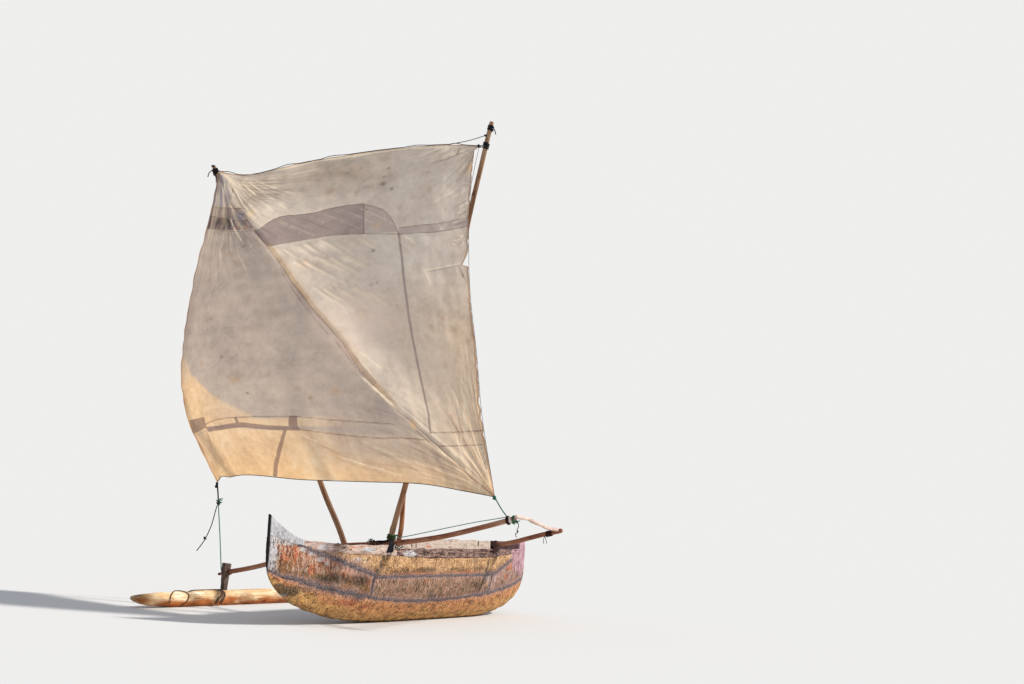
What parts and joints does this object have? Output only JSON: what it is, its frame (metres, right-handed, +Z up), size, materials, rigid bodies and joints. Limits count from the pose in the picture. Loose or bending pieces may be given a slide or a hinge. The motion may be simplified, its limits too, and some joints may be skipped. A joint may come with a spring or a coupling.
{
  "type": "outrigger sailing canoe",
  "caption": "Wooden single-outrigger sailing canoe with a planked dugout hull, one log float on two booms, and a square sail spread by two spars.",
  "frame": {"origin": "worn flat of the keel, amidships, on the ground", "axes": "+X to the bow, +Y to port, +Z up; the hull heels 4.4 degrees to starboard onto its float"},
  "size_m": [5.14, 3.6246, 4.6587],
  "materials": {
    "dugout_paint": "weathered paint on a dug-out log",
    "panel_paint": "worn orange and brown paint over planks",
    "strake_paint": "worn cream paint over planks",
    "bare_plank": "grey weathered wood",
    "board_cream": "pale worn paint",
    "stern_paint": "faded pink paint",
    "boom_wood": "debarked pole",
    "spar_wood": "debarked pole",
    "stick_wood": "bleached stick",
    "float_wood": "bare log",
    "post_wood": "dark weathered board",
    "inner_wood": "bare board",
    "sail_cloth": "thin patched cotton",
    "black_rope": "twisted rope",
    "green_rope": "twisted rope"
  },
  "bodies": {
    "hull": {"dugout_stern": "dugout_paint", "dugout_aft": "dugout_paint", "dugout_fore": "dugout_paint", "dugout_bow": "dugout_paint", "bow_panel_port": "panel_paint", "middle_panel_port": "panel_paint", "stern_panel_port": "panel_paint", "upper_strake_port": "strake_paint", "top_strake_port": "bare_plank", "top_strake_bow_port": "bare_plank", "bow_panel_starboard": "panel_paint", "middle_panel_starboard": "panel_paint", "stern_panel_starboard": "panel_paint", "upper_strake_starboard": "strake_paint", "top_strake_starboard": "bare_plank", "top_strake_bow_starboard": "bare_plank", "washboard_port": "board_cream", "prow_piece": "bare_plank", "stern_block": "stern_paint", "thwart_middle": "inner_wood", "thwart_aft": "inner_wood", "thwart_fore": "inner_wood", "mast_step": "inner_wood", "boom_fore": "boom_wood", "boom_aft": "boom_wood", "end_stick": "stick_wood", "float": "float_wood", "stanchion_fore": "post_wood", "stanchion_aft": "post_wood", "lashing_fore_port": "black_rope", "lashing_fore_starboard": "black_rope", "lashing_aft_port": "black_rope", "lashing_aft_starboard": "black_rope", "lashing_stanchion_fore": "black_rope", "lashing_stanchion_aft": "black_rope", "boom_wrap": "black_rope", "float_band_fore": "black_rope", "float_band_aft": "black_rope", "sheet_port": "green_rope", "sheet_starboard": "green_rope", "sheet_tail": "black_rope"},
    "rig": {"spar_port": "spar_wood", "spar_starboard": "spar_wood", "prop_pole": "spar_wood", "sail": "sail_cloth", "lashing_head_port": "black_rope", "lashing_head_starboard": "black_rope"}
  },
  "joints": [
    {"name": "rig_rake", "type": "hinge", "parent": "hull", "child": "rig", "pos_m": [0.64, -0.01151, 0.14556], "axis": [0, -0.9971, -0.0767], "range_deg": [0, 15]}
  ]
}
